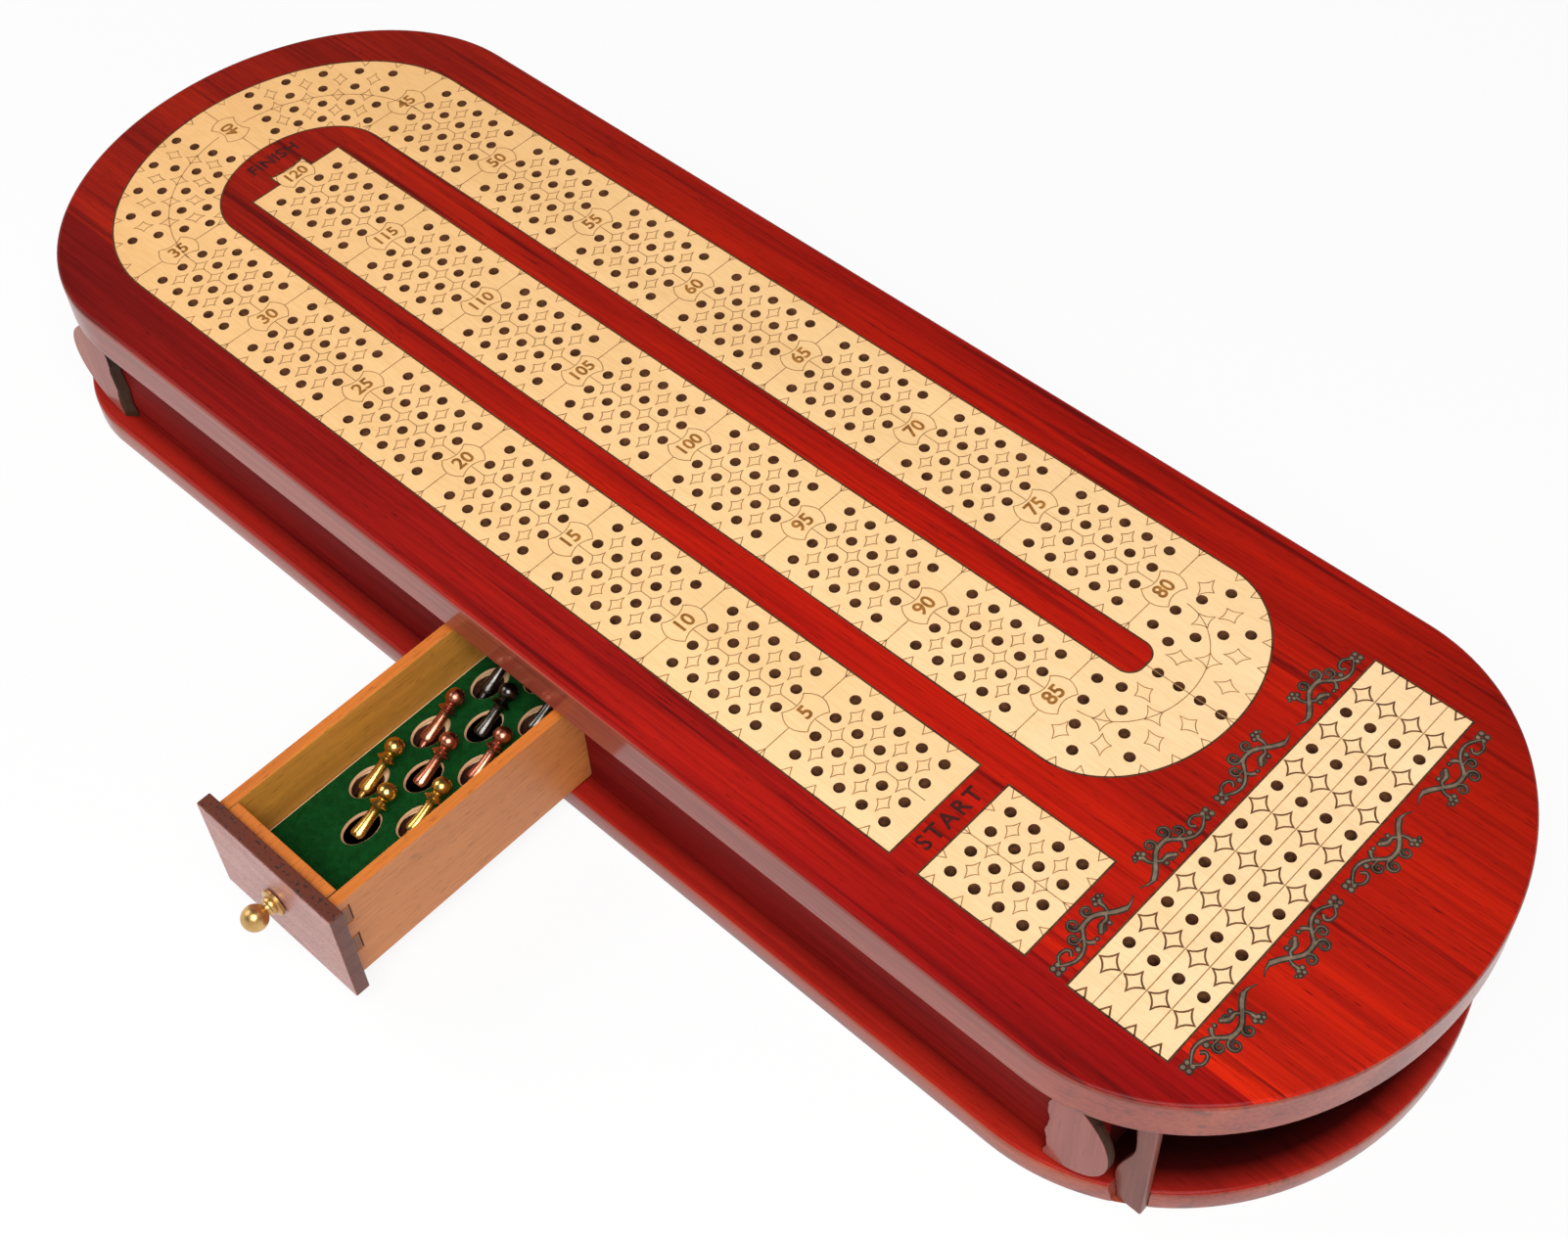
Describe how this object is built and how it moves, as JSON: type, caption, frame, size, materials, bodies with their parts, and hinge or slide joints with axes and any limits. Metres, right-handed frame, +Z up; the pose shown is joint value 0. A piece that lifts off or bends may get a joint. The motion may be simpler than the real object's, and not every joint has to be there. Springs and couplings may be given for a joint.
{
  "type": "cribbage board with peg drawer",
  "caption": "Red hardwood cribbage board with an inlaid pale spiral of peg holes, on a raised base with rounded ends, and a finger-jointed drawer that holds metal pegs in slanting sockets",
  "frame": {"origin": "below the middle of the slab, level with the base's underside, on the table", "axes": "+X runs along the board to the games counter, -Y is the side the drawer opens to, +Z is up"},
  "size_m": [0.461, 0.2411, 0.058],
  "materials": {
    "red_hardwood": "clear satin varnish",
    "sawn_red_hardwood": "satin varnish on sawn faces",
    "pale_maple": "satin varnish, engraved",
    "honey_wood": "satin",
    "dark_open_grained_wood": "satin, open pores",
    "green_felt": "matt pile",
    "brass": "polished",
    "copper": "polished copper plate",
    "black_nickel": "polished black nickel plate",
    "silver": "polished"
  },
  "bodies": {
    "board": {"top_slab": "red_hardwood", "base_slab": "red_hardwood", "front_rail_left": "red_hardwood", "front_rail_right": "red_hardwood", "back_rail": "red_hardwood", "end_board_left": "red_hardwood", "end_board_right": "red_hardwood", "corner_bracket_near_left": "sawn_red_hardwood", "corner_bracket_near_right": "sawn_red_hardwood", "corner_bracket_far_left": "sawn_red_hardwood", "corner_bracket_far_right": "sawn_red_hardwood", "end_post_near_left": "sawn_red_hardwood", "end_post_near_right": "sawn_red_hardwood", "end_post_far_left": "sawn_red_hardwood", "end_post_far_right": "sawn_red_hardwood", "track_inlay": "pale_maple", "start_inlay": "pale_maple", "counter_inlay": "pale_maple", "drawer_runner_left": "honey_wood", "drawer_runner_right": "honey_wood", "drawer_kicker": "honey_wood"},
    "drawer": {"drawer_front": "dark_open_grained_wood", "drawer_inner_front": "honey_wood", "drawer_side_left": "honey_wood", "drawer_side_right": "honey_wood", "drawer_back": "honey_wood", "drawer_bottom": "honey_wood", "peg_rest": "honey_wood", "felt_lining": "green_felt", "drawer_knob": "brass", "knob_screw": "brass"},
    "peg_brass_1": {"peg_brass_1": "brass"},
    "peg_brass_2": {"peg_brass_2": "brass"},
    "peg_brass_3": {"peg_brass_3": "brass"},
    "peg_copper_1": {"peg_copper_1": "copper"},
    "peg_copper_2": {"peg_copper_2": "copper"},
    "peg_copper_3": {"peg_copper_3": "copper"},
    "peg_nickel_1": {"peg_nickel_1": "black_nickel"},
    "peg_nickel_2": {"peg_nickel_2": "black_nickel"},
    "peg_nickel_3": {"peg_nickel_3": "black_nickel"},
    "peg_silver_1": {"peg_silver_1": "silver"},
    "peg_silver_2": {"peg_silver_2": "silver"},
    "peg_silver_3": {"peg_silver_3": "silver"}
  },
  "joints": [
    {"name": "drawer_slide", "type": "slide", "parent": "board", "child": "drawer", "axis": [0, -1, 0], "range_m": [-0.0788, 0.025]},
    {"name": "peg_brass_1_lift", "type": "slide", "parent": "drawer", "child": "peg_brass_1", "axis": [0, 0.766, 0.6428], "range_m": [0, 0.014]},
    {"name": "peg_brass_2_lift", "type": "slide", "parent": "drawer", "child": "peg_brass_2", "axis": [0, 0.766, 0.6428], "range_m": [0, 0.014]},
    {"name": "peg_brass_3_lift", "type": "slide", "parent": "drawer", "child": "peg_brass_3", "axis": [0, 0.766, 0.6428], "range_m": [0, 0.014]},
    {"name": "peg_copper_1_lift", "type": "slide", "parent": "drawer", "child": "peg_copper_1", "axis": [0, 0.766, 0.6428], "range_m": [0, 0.014]},
    {"name": "peg_copper_2_lift", "type": "slide", "parent": "drawer", "child": "peg_copper_2", "axis": [0, 0.766, 0.6428], "range_m": [0, 0.014]},
    {"name": "peg_copper_3_lift", "type": "slide", "parent": "drawer", "child": "peg_copper_3", "axis": [0, 0.766, 0.6428], "range_m": [0, 0.014]},
    {"name": "peg_nickel_1_lift", "type": "slide", "parent": "drawer", "child": "peg_nickel_1", "axis": [0, 0.766, 0.6428], "range_m": [0, 0.014]},
    {"name": "peg_nickel_2_lift", "type": "slide", "parent": "drawer", "child": "peg_nickel_2", "axis": [0, 0.766, 0.6428], "range_m": [0, 0.014]},
    {"name": "peg_nickel_3_lift", "type": "slide", "parent": "drawer", "child": "peg_nickel_3", "axis": [0, 0.766, 0.6428], "range_m": [0, 0.014]},
    {"name": "peg_silver_1_lift", "type": "slide", "parent": "drawer", "child": "peg_silver_1", "axis": [0, 0.766, 0.6428], "range_m": [0, 0.014]},
    {"name": "peg_silver_2_lift", "type": "slide", "parent": "drawer", "child": "peg_silver_2", "axis": [0, 0.766, 0.6428], "range_m": [0, 0.014]},
    {"name": "peg_silver_3_lift", "type": "slide", "parent": "drawer", "child": "peg_silver_3", "axis": [0, 0.766, 0.6428], "range_m": [0, 0.014]}
  ]
}
